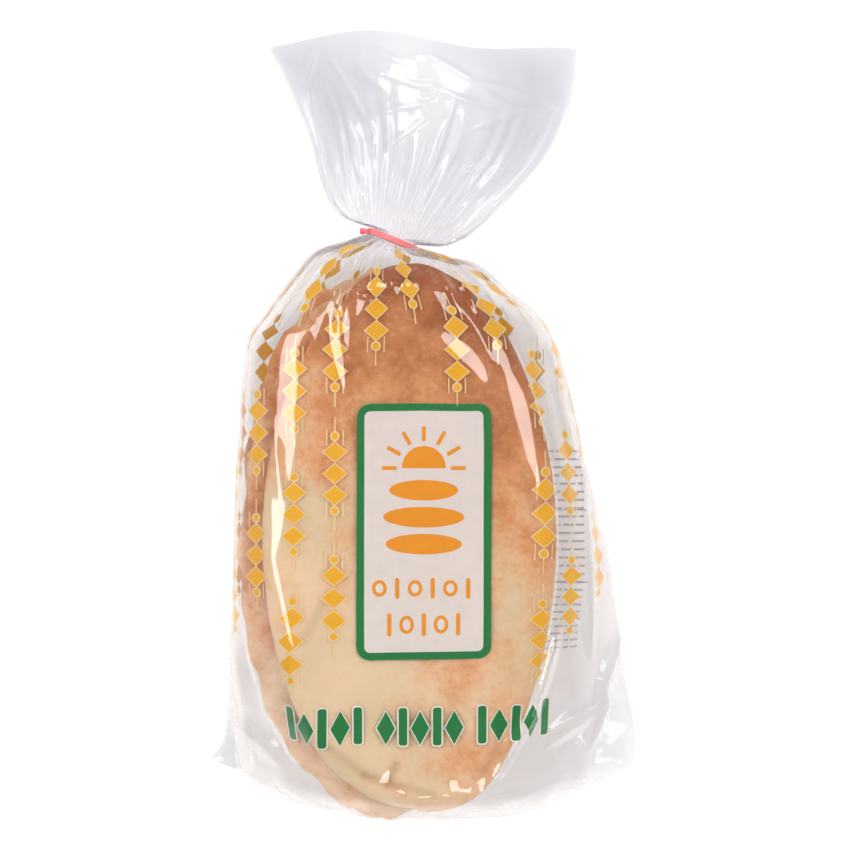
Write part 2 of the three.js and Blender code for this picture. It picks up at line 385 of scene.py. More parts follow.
# The sides in plan, in millimetres from the drawing's middle: up the body to the neck, then up the mouth.
LEFT_SIDE = (
    (-88.8, -139), (-83.8, -129.9), (-81.6, -103), (-79.7, -64.3), (-77.2, -8.3),
    (-74.2, 30), (-66, 45), (-47.5, 69.5), (-33, 75.2), (-22.1, 78.6),
)
RIGHT_SIDE = (
    (88.8, -139.9), (87.6, -129), (83.2, -100), (78, -65.2), (65.2, -7.5),
    (55, 29.5), (43.5, 48.5), (22, 65.4), (7.5, 69.6), (-4.9, 71.6),
)
MOUTH_LEFT = ((-20.9, 81.6), (-33.2, 86), (-41.5, 97.5), (-50.6, 125.7), (-66.4, 159))
MOUTH_RIGHT = (
    (-3.7, 74.6), (6.2, 73.9), (12.5, 76), (25.7, 85.1), (50.2, 110), (61.6, 134), (64.3, 158.1),
)
PACK_HEIGHT = 63 * MM
CORNER_HEIGHT = 8 * MM
NECK_HEIGHT = 34 * MM
NECK_HALF_DEPTH = 7.3 * MM
MOUTH_CORNER_HEIGHT = 5 * MM
MOUTH_ARCH_HEIGHT = 46 * MM
MOUTH_HALF_DEPTH = 4 * MM
PRESSED_FLAT = 3 * MM
END_RISE_LENGTH = 0.04
SHOULDER_LENGTH = 0.1
# The bottom seam bows down in its middle, and the lip of the mouth bows and waves a little. The powers say
# how each bends.
SEAM_BOW = 24 * MM
SEAM_BOW_END = 0.34
SEAM_BOW_FADE = 1.6
SEAM_BOW_POWER = 2.5
MOUTH_BOW = 1.6 * MM
MOUTH_WAVE = 4.6 * MM
MOUTH_ARCH_POWER = 1.8

# Each entry is a place, from 0 at the seam or neck to 1 at the neck or mouth, and the value there.
LEFT_FOLD_HEIGHT = ((0, CORNER_HEIGHT), (0.2, 30 * MM), (1, NECK_HEIGHT))
RIGHT_FOLD_HEIGHT = ((0, CORNER_HEIGHT), (0.4, 20 * MM), (1, NECK_HEIGHT))
SEAM_LIFT = ((0, 17 * MM), (0.1, 0.0))
UNFILLED_HALF_DEPTH = ((0.85, 0.0), (1, NECK_HALF_DEPTH))
LEFT_FLATNESS = ((0, 2.6), (0.2, 3.4), (0.4, 4.6), (0.8, 4), (1, 2))
LEFT_SHARPNESS = ((0, 1.5), (0.16, 0.8), (0.36, 0.28), (0.8, 0.3), (1, 0.5))
RIGHT_FLATNESS = ((0, 2.6), (0.2, 2.9), (0.4, 3.2), (0.85, 3), (1, 2))
RIGHT_SHARPNESS = ((0, 1.5), (0.16, 1), (0.4, 0.6), (0.85, 0.5), (1, 0.5))
ARCH_HEIGHT = ((0, NECK_HEIGHT), (0.9, MOUTH_ARCH_HEIGHT))
MOUTH_SIDE_HEIGHT = ((0.05, NECK_HEIGHT), (1, MOUTH_CORNER_HEIGHT))

# The grid: points across one face, and rows along the body, the neck and the mouth.
ACROSS = 170
BODY_ROWS = 230
NECK_ROWS = 6
MOUTH_ROWS = 130
FINE_STEPS = 200
ROW_CROWDING = 1.5


def along(entries, place):
    """A value that changes smoothly from one entry to the next, and is level outside them."""
    if place <= entries[0][0]:
        return entries[0][1]
    for (start, before), (end, after) in zip(entries, entries[1:]):
        if place <= end:
            share = (place - start) / (end - start)
            return before + (after - before) * share * share * (3 - 2 * share)
    return entries[-1][1]


def quarter_rise(x):
    """A quarter of a circle, from 0 at 0 to 1 at 1."""
    left = 1 - min(max(x, 0.0), 1.0)
    return math.sqrt(1 - left * left)


def smooth_step(x, start, end):
    share = min(max((x - start) / (end - start), 0.0), 1.0)
    return share * share * (3 - 2 * share)


def curve_point(points, share):
    """A point of the smooth curve through points given in millimetres, at a share of their count."""
    spot = share * (len(points) - 1)
    i = min(int(spot), len(points) - 2)
    t = spot - i
    p0, p1, p2, p3 = (Vector(points[min(max(k, 0), len(points) - 1)]) for k in range(i - 1, i + 3))
    out1 = (p2 - p0) / 2
    out2 = (p3 - p1) / 2
    bend = (2 * p1 - 2 * p2 + out1 + out2) * t**3
    bend += (-3 * p1 + 3 * p2 - 2 * out1 - out2) * t**2
    return (bend + out1 * t + p1) * MM


def even_steps(points, count):
    """For each of count + 1 evenly spaced places along a line: the point before it, and how far it is on."""
    lengths = [0.0]
    for before, after in zip(points, points[1:]):
        lengths.append(lengths[-1] + (after - before).length)
    k = 0
    for i in range(count + 1):
        target = lengths[-1] * i / count
        while k < len(points) - 2 and lengths[k + 1] < target:
            k += 1
        step = max(lengths[k + 1] - lengths[k], 1e-12)
        yield k, min((target - lengths[k]) / step, 1.0)


def even_shares(point_at, count):
    """The shares at which count + 1 points are evenly spaced along a curve."""
    points = [point_at(i / FINE_STEPS) for i in range(FINE_STEPS + 1)]
    return [(k + on) / FINE_STEPS for k, on in even_steps(points, count)]


def middle_point(share):
    return (curve_point(LEFT_SIDE, share) + curve_point(RIGHT_SIDE, share)) / 2


def face_row(point_at):
    """Evenly spaced points of one face of one row, from the left fold to the right one."""
    points = [point_at(-math.cos(math.pi * i / FINE_STEPS)) for i in range(FINE_STEPS + 1)]
    return [points[k].lerp(points[k + 1], on) for k, on in even_steps(points, ACROSS)]


def wrapped_row(point_at):
    """The front face from left to right, then the back face from right to left."""
    front = face_row(lambda across: point_at(across, 1))
    back = face_row(lambda across: point_at(across, -1))
    return front + back[-2::-1]


def body_row(place, step):
    left = curve_point(LEFT_SIDE, step)
    right = curve_point(RIGHT_SIDE, step)
    left_height = along(LEFT_FOLD_HEIGHT, place)
    right_height = along(RIGHT_FOLD_HEIGHT, place)
    lift = along(SEAM_LIFT, place)
    filled = quarter_rise(place / END_RISE_LENGTH) * quarter_rise((1 - place) / SHOULDER_LENGTH)
    unfilled = along(UNFILLED_HALF_DEPTH, place)
    bow = SEAM_BOW * max(0.0, 1 - place / SEAM_BOW_END) ** SEAM_BOW_FADE
    left_form = along(LEFT_FLATNESS, place), along(LEFT_SHARPNESS, place)
    right_form = along(RIGHT_FLATNESS, place), along(RIGHT_SHARPNESS, place)

    def point_at(across, face):
        flatness, sharpness = left_form if across < 0 else right_form
        fullness = (1 - abs(across) ** flatness) ** sharpness
        share = (across + 1) / 2
        fold = left_height + (right_height - left_height) * share + lift * (1 - across * across)
        full = PACK_HEIGHT - fold if face > 0 else fold + PRESSED_FLAT
        depth = unfilled + (full - unfilled) * filled
        spot = left.lerp(right, share)
        return Vector((
            spot.x,
            spot.y - bow * (1 - abs(across) ** SEAM_BOW_POWER),
            max(0.0, fold + face * depth * fullness),
        ))

    return wrapped_row(point_at)


def mouth_row(place, left_share, right_share):
    left = curve_point(MOUTH_LEFT, left_share)
    right = curve_point(MOUTH_RIGHT, right_share)
    arch = along(ARCH_HEIGHT, place)
    side = along(MOUTH_SIDE_HEIGHT, place)
    depth = NECK_HALF_DEPTH + (MOUTH_HALF_DEPTH - NECK_HALF_DEPTH) * place

    def point_at(across, face):
        share = (across + 1) / 2
        edge = (MOUTH_BOW - MOUTH_WAVE * math.sin(math.pi * across)) * math.cos(math.pi * across / 2)
        middle = arch + (side - arch) * abs(across) ** MOUTH_ARCH_POWER
        spot = left.lerp(right, share)
        height = middle + face * depth * math.sqrt(max(0.0, 1 - across * across))
        return Vector((spot.x, spot.y + edge * place**3, max(0.0, height)))

    return wrapped_row(point_at)


def body_place(share):
    """Rows lie closer together at both ends of the body."""
    if share < 0.5:
        return 0.5 * (2 * share) ** ROW_CROWDING
    return 1 - 0.5 * (2 - 2 * share) ** ROW_CROWDING


middle_shares = even_shares(middle_point, FINE_STEPS)
rows = []
for i in range(BODY_ROWS + 1):
    place = body_place(i / BODY_ROWS)
    spot = place * FINE_STEPS
    k = min(int(spot), FINE_STEPS - 1)
    step = middle_shares[k] + (middle_shares[k + 1] - middle_shares[k]) * (spot - k)
    rows.append(body_row(place, step))
left_shares = even_shares(lambda share: curve_point(MOUTH_LEFT, share), MOUTH_ROWS)
right_shares = even_shares(lambda share: curve_point(MOUTH_RIGHT, share), MOUTH_ROWS)
mouth_rows = [mouth_row(i / MOUTH_ROWS, left_shares[i], right_shares[i]) for i in range(MOUTH_ROWS + 1)]
for i in range(1, NECK_ROWS):
    rows.append([a.lerp(b, i / NECK_ROWS) for a, b in zip(rows[BODY_ROWS], mouth_rows[0])])
rows += mouth_rows
ROUND = 2 * ACROSS
NECK_ROW = BODY_ROWS + NECK_ROWS // 2

# How far each row lies from the neck along the film's middle, negative towards the breads.
row_lengths = [0.0]
for before, after in zip(rows, rows[1:]):
    row_lengths.append(row_lengths[-1] + (after[ACROSS // 2] - before[ACROSS // 2]).length)
from_neck = [length - row_lengths[NECK_ROW] for length in row_lengths]

# The gathers: folds of uneven width that run out from the tie, some of them further than others.
PLEATS = 15
PLEAT_DEPTH = 2.4 * MM
PLEAT_FADE_POWER = 1.4
BODY_PLEAT_REACH = 62 * MM
MOUTH_PLEAT_REACH = 70 * MM
# The fine gathers beside the tie, and the nip that the tie itself makes.
FINE_PLEATS = 1.9
FINE_PLEAT_SHARE = 0.6
FINE_PLEAT_FADE = 2.6
FINE_FADE_POWER = 1.2
NIP_PLEATS = 1.5
NIP_SHARE = 0.2
TIE_EDGE = (1.2 * MM, 9 * MM)
# How sharp the folds' crests are: 1 would be a zigzag.
CREST = 0.96
# The gathers' unevenness is read from a noise round a ring, one ring for the mouth and one for the body.
RING_RADIUS = 2.2
MOUTH_RING = 3.0
BODY_RING = 9.0
PLEAT_DRIFT = 5.0
PLEAT_STRENGTH = 0.55
PLEAT_UNEVENNESS = 0.9
UNEVENNESS_SCALE = 1.7


def fold_wave(x):
    """A wave of flat flanks and fairly sharp crests, between -1 and 1."""
    return math.asin(CREST * math.sin(x)) / math.asin(CREST)


def pleat_depth(column, row):
    distance = from_neck[row]
    reach = MOUTH_PLEAT_REACH if distance > 0 else BODY_PLEAT_REACH
    far = min(abs(distance) / reach, 1.0)
    turn = 2 * math.pi * column / ROUND
    ring_height = MOUTH_RING if distance > 0 else BODY_RING
    ring = Vector((math.cos(turn) * RING_RADIUS, math.sin(turn) * RING_RADIUS, ring_height))
    strength = PLEAT_STRENGTH + PLEAT_UNEVENNESS * noise.noise(ring * UNEVENNESS_SCALE)
    phase = 2 * PLEATS * turn + PLEAT_DRIFT * noise.noise(ring)
    coarse = fold_wave(phase) * (1 - far) ** PLEAT_FADE_POWER
    fine = fold_wave(phase * FINE_PLEATS + 1.0) * max(0.0, 1 - far * FINE_PLEAT_FADE) ** FINE_FADE_POWER
    gathered = smooth_step(abs(distance), *TIE_EDGE)
    folds = strength * gathered * (coarse + FINE_PLEAT_SHARE * fine)
    nip = NIP_SHARE * (1 - gathered) * (fold_wave(phase * NIP_PLEATS) - 1)
    return PLEAT_DEPTH * (folds + nip)


# A crumple's finer second set of creases, by how much finer and how strong, and the level that stays flat.
FINER_CREASES = 2.1
FINER_SHARE = 0.28
CRUMPLE_LEVEL = 0.25


def crumple(place, size):
    """Creases along the zero lines of a noise, with smooth facets between them."""
    first = abs(noise.noise(place / size))
    second = abs(noise.noise(place / size * FINER_CREASES + Vector((7.0, 3.0, 1.0))))
    return first + FINER_SHARE * second - CRUMPLE_LEVEL


# Where the film turns loose: across a face from its left fold, and up the body from the seam, as shares, and
# up the mouth from the tie. Each is followed by how loose it gets.
RIGHT_LOOSE, RIGHT_SLACK = (0.74, 0.92), 0.5
LEFT_LOOSE, LEFT_SLACK = (0.02, 0.16), 0.12
CORNERS_LOOSE, CORNER_SLACK = (0.10, 0.30), 0.5
SEAM_LOOSE, SEAM_SLACK = (0.08, 0.2), 0.45
LEAST_SLACK = 0.1
MOUTH_LOOSE = (8 * MM, 40 * MM)
LIP_CALMER, LIP_CALM = (55 * MM, 80 * MM), 0.4


def slack(column, row):
    """How loose the film is: taut over the breads, loose at the right side, the corners and the mouth."""
    if row >= NECK_ROW:
        calm = LIP_CALM * smooth_step(from_neck[row], *LIP_CALMER)
        return smooth_step(from_neck[row], *MOUTH_LOOSE) * (1 - calm)
    face_share = column / ACROSS if column <= ACROSS else (ROUND - column) / ACROSS
    right = smooth_step(face_share, *RIGHT_LOOSE)
    left = 1 - smooth_step(face_share, *LEFT_LOOSE)
    corners = (1 - smooth_step(row / BODY_ROWS, *CORNERS_LOOSE)) * max(left, right)
    seam = 1 - smooth_step(row / BODY_ROWS, *SEAM_LOOSE)
    loose = RIGHT_SLACK * right + LEFT_SLACK * left + CORNER_SLACK * corners + SEAM_SLACK * seam
    return min(1.0, loose + LEAST_SLACK)


CRUMPLE_SIZE = 34 * MM
CRUMPLE_DEPTH = 6 * MM
MOUTH_CRUMPLE_SIZE = 48 * MM
MOUTH_CRUMPLE_DEPTH = 4.5 * MM
END_RIPPLE_SIZE = 9 * MM
END_RIPPLE_DEPTH = 0.8 * MM
END_RIPPLE_FADE = (0.06, 0.2)
BACK_FOLD_SHARE = 0.6
BACK_CRUMPLE_SHARE = 0.8
LIP_WIDTH = 14 * MM
LIP_DROOP = 7 * MM
MOUTH_BLEND = 20 * MM

# The long folds: both ends in plan, half the width, and the height, in millimetres. They fade out past
# their ends, by this share of their length.
FOLD_OVERRUN = 0.15
FOLD_SHARPNESS = 1.15
FOLD_FULL = (0.2, 0.75)
FOLD_END_WIDTH = 0.55
FOLD_SWELL = 1.8
LONG_FOLDS = (
    (54, -85, 42, -124, 4.5, 2.8),
    (44, -118, 27, -148, 4, 2.2),
    (81, -86, 68, -132, 4.5, 2.8),
    (64, -20, 69, -95, 4.5, 2.2),
    (52, 28, 66, -28, 4, 2),
    (78, -112, 48, -133, 4.5, 2.2),
    (-81, -118, -56, -142, 5, 1.6),
    (-78, -95, -70, -140, 4.5, 1.4),
    (-37, 54, -30, 10, 5, 0.95),
    (-30, 55, -14, 49, 2.6, 0.9),
    (2, 38, 27, 15, 6.5, 0.8),
    (16, 48, 32, 18, 4.5, 0.85),
    (-62, -2, -55, -66, 5, 1),
    (-45, 156, -51, 140, 2, 0.8),
    (-40, 154, -20, 118, 2.2, 0.9),
    (-23, 156, -8, 149, 1.8, 0.8),
    (3, 152, 22, 141, 2.2, 1),
    (20, 142, 42, 138, 1.8, 0.8),
    (40, 138, 60, 127, 1.8, 0.8),
    (17, 121, 40, 130, 1.8, 0.8),
    (-48, 139, -44, 108, 4, 1.7),
    (2, 127, -20, 112, 2.2, 0.9),
    (-28, 148, -16, 138, 5, 1.5),
    (-24, 147, 6, 137, 2.2, 1.1),
    (-20, 129, 4, 133, 2, 0.9),
    (0, 141, 26, 130, 2.2, 1),
    (22.8, 138.7, 56, 121.5, 1.8, 0.9),
    (9, 135, 22, 133.5, 1.6, 0.7),
    (16, 104, 33, 111, 2.2, 1),
    (4, 108, 13, 135, 2, 0.8),
    (-30, 106, -22, 86, 3, 1.3),
    (14, 108, 2, 88, 3, 1.2),
    (36, 112, 20, 94, 3.5, 1.4),
)


def long_folds(x, y):
    """How far the long folds lift the film at a place in plan."""
    height = 0.0
    for x0, y0, x1, y1, half_width, rise in LONG_FOLDS:
        ax, ay = x1 - x0, y1 - y0
        length = math.hypot(ax, ay)
        share = ((x - x0) * ax + (y - y0) * ay) / (length * length)
        if -FOLD_OVERRUN < share < 1 + FOLD_OVERRUN:
            away = abs((x - x0) * ay - (y - y0) * ax) / length
            reach = half_width * (FOLD_END_WIDTH + FOLD_SWELL * share * (1 - share))
            if away < reach:
                fade = smooth_step(share, -FOLD_OVERRUN, FOLD_FULL[0])
                fade *= 1 - smooth_step(share, FOLD_FULL[1], 1 + FOLD_OVERRUN)
                height += rise * fade * (1 - away / reach) ** FOLD_SHARPNESS
    return height * MM


bm = bmesh.new()
bmesh.ops.create_grid(bm, x_segments=ROUND, y_segments=len(rows) - 1, size=1.0)
grid = {}
for vert in bm.verts:
    column = round((vert.co.x + 1) / 2 * ROUND)
    row = round((vert.co.y + 1) / 2 * (len(rows) - 1))
    grid[column, row] = vert
for (column, row), vert in grid.items():
    vert.co = rows[row][column]
bm.normal_update()
moves = {}
for (column, row), vert in grid.items():
    if column == ROUND:
        continue
    normal = vert.normal
    if column == 0:
        normal = (vert.normal + grid[ROUND, row].normal).normalized()
    flat_place = Vector((vert.co.x, vert.co.y, 0.0))
    fold = pleat_depth(column, row)
    in_mouth = row >= NECK_ROW
    on_front = column <= ACROSS
    size = MOUTH_CRUMPLE_SIZE if in_mouth else CRUMPLE_SIZE
    depth = MOUTH_CRUMPLE_DEPTH if in_mouth else CRUMPLE_DEPTH
    loose = slack(column, row) * depth * crumple(flat_place + Vector((0, 0, 0.02)), size)
    loose += long_folds(vert.co.x / MM, vert.co.y / MM) * (1.0 if on_front else BACK_FOLD_SHARE)
    near_seam = (1 - smooth_step(row / BODY_ROWS, *END_RIPPLE_FADE)) * END_RIPPLE_DEPTH
    loose += near_seam * noise.noise(vert.co / END_RIPPLE_SIZE)
    if in_mouth:
        distance = from_neck[row]
        spread = smooth_step(distance, 0.0, MOUTH_BLEND)
        lift = loose * spread * (1.0 if on_front else BACK_CRUMPLE_SHARE)
        droop = LIP_DROOP * smooth_step(distance, from_neck[-1] - LIP_WIDTH, from_neck[-1] + LIP_WIDTH)
        moves[column, row] = normal * fold + Vector((0.0, 0.0, lift - droop))
    else:
        moves[column, row] = normal * (fold + loose)
for (column, row), move in moves.items():
    grid[column, row].co += move
for row in range(len(rows)):
    grid[ROUND, row].co = grid[0, row].co

# The film is stretched over the stack: pushed out of the hull round all the breads, eased, and pushed again.
FILM_CLEARANCE = 0.4 * MM
TOUCHING = 1.5 * MM
EASING_TURNS = 3
NECK_MARGIN_ROWS = 20
FLOOR_CLEARANCE = 0.3 * MM
hull = bmesh.new()
for bread in breads:
    for vert in bread.data.vertices:
        hull.verts.new(vert.co)
bmesh.ops.convex_hull(hull, input=hull.verts[:])
bmesh.ops.delete(hull, geom=[vert for vert in hull.verts if not vert.link_faces], context="VERTS")
bmesh.ops.recalc_face_normals(hull, faces=hull.faces[:])
stack = BVHTree.FromBMesh(hull)
hull.free()
for vert in bm.verts:
    vert.co += drawing_middle
body_verts = [vert for (column, row), vert in grid.items() if row < BODY_ROWS]
stack_middle = drawing_middle + Vector((*BREAD_MIDDLE, len(BREAD_STACK) * BREAD_THICKNESS / 2))
for vert in body_verts:
    heart = Vector((*(stack_middle.xy + vert.co.xy) / 2, stack_middle.z))
    outwards = vert.co - heart
    _, _, _, distance = stack.ray_cast(heart, outwards.normalized())
    if distance and distance + FILM_CLEARANCE > outwards.length:
        vert.co = heart + outwards.normalized() * (distance + FILM_CLEARANCE)
inner = {grid[c, r] for c in range(1, ROUND) for r in range(1, BODY_ROWS - NECK_MARGIN_ROWS)}
for turn in range(EASING_TURNS + 1):
    touching = []
    for vert in body_verts:
        nearest, normal, _, _ = stack.find_nearest(vert.co)
        height = (vert.co - nearest).dot(normal)
        if height < TOUCHING and vert in inner:
            touching.append(vert)
        if height < FILM_CLEARANCE:
            vert.co = nearest + normal * FILM_CLEARANCE
    if turn < EASING_TURNS:
        bmesh.ops.smooth_vert(
            bm, verts=touching, factor=0.5, use_axis_x=True, use_axis_y=True, use_axis_z=True
        )
for vert in bm.verts:
    vert.co.z = max(vert.co.z, FLOOR_CLEARANCE)
film_points = [[grid[c, r].co.copy() for c in range(ROUND + 1)] for r in range(len(rows))]
bm.free()


NECK_MIDDLE = Vector((-12.5 * MM, 77 * MM, NECK_HEIGHT))


def clear_film(name, flat_colour, sloping_colour, steep_colour, least_gloss):
    """Clear cast polypropylene: thin, glossy on both faces, and faintly grey, by how steeply it lies."""
    material, tree = new_material(name)
    facing = add(tree, "ShaderNodeLayerWeight", {"Blend": 0.5}).outputs["Facing"]
    grazing = add(tree, "ShaderNodeMath", {0: facing, 1: 3.0}, operation="POWER")
    gloss_share = add(tree, "ShaderNodeMapRange", {
        "Value": grazing.outputs["Value"],
        "To Min": least_gloss,
        "To Max": 0.25,
    })
    edge_haze = add(tree, "ShaderNodeMapRange", {
        "Value": facing,
        "From Min": 0.34,
        "From Max": 0.85,
        "To Min": 0.008,
        "To Max": 0.42,
    })
    place = add(tree, "ShaderNodeTexCoord").outputs["Object"]
    from_tie = add(tree, "ShaderNodeVectorMath", {
        0: place,
        1: drawing_middle + NECK_MIDDLE,
    }, operation="DISTANCE")
    gathered = add(tree, "ShaderNodeMapRange", {
        "Value": from_tie.outputs["Value"],
        "From Min": 0.04,
        "From Max": 0.01,
    })
    haze_share = add(tree, "ShaderNodeMath", {
        0: gathered.outputs["Result"],
        1: 0.03,
        2: edge_haze.outputs["Result"],
    }, operation="MULTIPLY_ADD")
    sloping = add(tree, "ShaderNodeMapRange", {"Value": facing, "From Min": 0.0, "From Max": 0.26})
    sloping_tint = add(tree, "ShaderNodeMix", {
        "Factor": sloping.outputs["Result"],
        "A": linear(flat_colour),
        "B": linear(sloping_colour),
    }, data_type="RGBA")
    steep = add(tree, "ShaderNodeMapRange", {"Value": facing, "From Min": 0.38, "From Max": 0.62})
    tint = add(tree, "ShaderNodeMix", {
        "Factor": steep.outputs["Result"],
        "A": sloping_tint.outputs["Result"],
        "B": linear(steep_colour),
    }, data_type="RGBA")
    gathered_tint = add(tree, "ShaderNodeMix", {
        "Factor": gathered.outputs["Result"],
        "A": tint.outputs["Result"],
        "B": linear(0xF3F3F5),
    }, data_type="RGBA")
    clear = add(tree, "ShaderNodeBsdfTransparent", {"Color": gathered_tint.outputs["Result"]})
    haze_front = add(tree, "ShaderNodeBsdfDiffuse", {"Color": linear(0xF8F8FA)})
    haze_through = add(tree, "ShaderNodeBsdfTranslucent", {"Color": linear(0xF8F8FA)})
    haze = add(tree, "ShaderNodeMixShader", {
        "Fac": 0.5,
        1: haze_front.outputs["BSDF"],
        2: haze_through.outputs["BSDF"],
    })
    body = add(tree, "ShaderNodeMixShader", {
        "Fac": haze_share.outputs["Value"],
        1: clear.outputs["BSDF"],
        2: haze.outputs["Shader"],
    })
    gloss = add(tree, "ShaderNodeBsdfGlossy", {"Color": linear(0xFFFFFF), "Roughness": 0.06})
    skin = add(tree, "ShaderNodeMixShader", {
        "Fac": gloss_share.outputs["Result"],
        1: body.outputs["Shader"],
        2: gloss.outputs["BSDF"],
    })
    add(tree, "ShaderNodeOutputMaterial", {"Surface": skin.outputs["Shader"]})
    return material


# The same clear film twice. The body's copy has a lighter flat and sloping tint. This is painted light that
# offsets the shade the bread stack casts on the floor seen through it. The mouth's copy is greyer and less
# glossy, so its facets glint less.
body_film = clear_film("body_film_painted_lighter", 0xF4F4F4, 0xE9E9EA, 0xF9FAFA, 0.065)
mouth_film = clear_film("mouth_polypropylene_film", 0xF2F2F3, 0xE3E3E6, 0xFCFCFD, 0.04)

# The body, sealed along the bottom, and the open mouth meet under the twist tie.
JOIN_DISTANCE = 0.02 * MM
film_pieces = (("film_body", 0, NECK_ROW, body_film), ("film_mouth", NECK_ROW, len(rows) - 1, mouth_film))
for name, first, last, film in film_pieces:
    bm = bmesh.new()
    bmesh.ops.create_grid(bm, x_segments=ROUND, y_segments=last - first, size=1.0)
    joined = []
    for vert in bm.verts:
        column = round((vert.co.x + 1) / 2 * ROUND)
        row = first + round((vert.co.y + 1) / 2 * (last - first))
        vert.co = film_points[row][column]
        if row == 0 or column in (0, ROUND):
            joined.append(vert)
    bmesh.ops.remove_doubles(bm, verts=joined, dist=JOIN_DISTANCE)
    piece = new_piece(name, bm, film)
    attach(piece, "root")
    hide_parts("bag")

# The print
# Inks laid on the inner face of the film while it was a flat sheet. Gold sprigs of lozenges cover it, with a
# pale panel with a green border on the front, a green row of bars below it, and grey rules on the back.

SHEET_WIDTH = 200 * MM
PRINT_DEPTH = 0.14 * MM
DICE = 1.6 * MM
OUTLINE = 0.65 * MM

# The print keeps its own scale across the breads, and is gathered with the film towards the neck.
PRINT_MIDDLE_X = ((230 * MM, -1 * MM), (285 * MM, -12.5 * MM))
GATHER_START = 222 * MM
GATHER_END = 286 * MM
face_lengths = [sum((b - a).length for a, b in zip(line[:ACROSS], line[1:ACROSS + 1])) for line in rows]


def middle_column(row, x):
    """The column of the front, or of the back if it is counted from the right fold, that lies at x."""
    xs = [point.x for point in rows[row][:ACROSS + 1]]
    column = min(max(bisect.bisect_right(xs, x) - 1, 0), ACROSS - 1)
    return column + (x - xs[column]) / max(xs[column + 1] - xs[column], 1e-9)


middle_columns = [middle_column(row, along(PRINT_MIDDLE_X, row_lengths[row])) for row in range(len(rows))]


def film_at(across, up, depth):
    """A point of the flat sheet on the finished bag, some way inside the film.

    across is from the middle of the front to the right, and up from the bottom seam.
    """
    row = min(max(bisect.bisect_right(row_lengths, up) - 1, 0), len(rows) - 2)
    above = (up - row_lengths[row]) / (row_lengths[row + 1] - row_lengths[row])
    gathered = smooth_step(up, GATHER_START, GATHER_END)
    face_length = face_lengths[row] + (face_lengths[row + 1] - face_lengths[row]) * above
    face_length += (SHEET_WIDTH - face_length) * gathered
    middle = middle_columns[row] + (middle_columns[row + 1] - middle_columns[row]) * above
    if across <= SHEET_WIDTH / 2:
        column = middle + across * ACROSS / face_length
    else:
        column = ROUND - middle + (across - SHEET_WIDTH) * ACROSS / face_length
    column %= ROUND
    c = int(column)
    right = column - c
    low_left, low_right = film_points[row][c], film_points[row][c + 1]
    high_left, high_right = film_points[row + 1][c], film_points[row + 1][c + 1]
    place = low_left.lerp(low_right, right).lerp(high_left.lerp(high_right, right), above)
    outwards = (low_right - low_left).cross(high_left - low_left).normalized()
    return place - outwards * depth


def disc(bm, x, y, half_width, half_height, segments=20, ink_index=0):
    """A flat oval, or a lozenge if it has four segments."""
    place = Matrix.Translation((x, y, 0.0)) @ Matrix.Diagonal((half_width, half_height, 1.0, 1.0))
    made = bmesh.ops.create_circle(bm, cap_ends=True, segments=segments, radius=1.0, matrix=place)
    face = made["verts"][0].link_faces[0]
    face.material_index = ink_index
    return face


def bar(bm, x, y, width, height, corner, ink_index=0, turn=0.0):
    """A flat rectangle with rounded corners."""
    place = Matrix.Translation((x, y, 0.0)) @ Matrix.Rotation(turn, 4, "Z")
    place = place @ Matrix.Diagonal((width / 2, height / 2, 1.0, 1.0))
    made = bmesh.ops.create_grid(bm, x_segments=1, y_segments=1, size=1.0, matrix=place)
    if corner:
        made = bmesh.ops.bevel(
            bm, geom=made["verts"], offset=corner, segments=5, profile=0.5, affect="VERTICES", material=-1
        )
    face = made["verts"][0].link_faces[0]
    face.material_index = ink_index
    return face


def bordered(bm, face, width, ink_index):
    """A rim of another ink inside the edge of a flat shape."""
    rim = bmesh.ops.inset_region(bm, faces=[face], thickness=width, use_boundary=True)
    for rim_face in rim["faces"]:
        rim_face.material_index = ink_index


def stick(name, bm, places, depth, *inks):
    """Dices a flat design, and lays it on the film at each place of the sheet."""
    for axis in (0, 1):
        low = min(vert.co[axis] for vert in bm.verts)
        high = max(vert.co[axis] for vert in bm.verts)
        direction = Vector((1.0, 0.0, 0.0)) if axis == 0 else Vector((0.0, 1.0, 0.0))
        for i in range(1, math.ceil((high - low) / DICE)):
            bmesh.ops.bisect_plane(
                bm,
                geom=bm.verts[:] + bm.edges[:] + bm.faces[:],
                dist=1e-7,
                plane_co=direction * (low + i * DICE),
                plane_no=direction,
            )
    design = bpy.data.meshes.new(name)
    bm.to_mesh(design)
    bm.free()
    laid = bmesh.new()
    for across, up in places:
        start = len(laid.verts)
        laid.from_mesh(design)
        laid.verts.ensure_lookup_table()
        for vert in laid.verts[start:]:
            vert.co = film_at(across + vert.co.x, up + vert.co.y, depth)
    bpy.data.meshes.remove(design)
    piece = new_piece(name, laid, *inks)
    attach(piece, "root")
    return piece


# The share of its colour that the ink keeps where it lies thin.
THIN_INK = 0.86


def ink(name, hex_colour):
    """Flexographic ink on film: flat colour, slightly mottled, with a soft gloss."""
    material, tree = new_material(name)
    mottle = add(tree, "ShaderNodeTexNoise", {
        "Vector": add(tree, "ShaderNodeTexCoord").outputs["Object"],
        "Scale": 260.0,
        "Detail": 3.0,
    })
    full = linear(hex_colour)
    thin = [THIN_INK * channel for channel in full[:3]] + [1.0]
    tone = add(tree, "ShaderNodeMix", {
        "Factor": mottle.outputs["Fac"],
        "A": full,
        "B": thin,
    }, data_type="RGBA")
    lit = add(tree, "ShaderNodeBsdfPrincipled", {"Base Color": tone.outputs["Result"], "Roughness": 0.45})
    through = add(tree, "ShaderNodeBsdfTranslucent", {"Color": tone.outputs["Result"]})
    surface = add(tree, "ShaderNodeMixShader", {
        "Fac": 0.24,
        1: lit.outputs["BSDF"],
        2: through.outputs["BSDF"],
    })
    add(tree, "ShaderNodeOutputMaterial", {"Surface": surface.outputs["Shader"]})
    return material


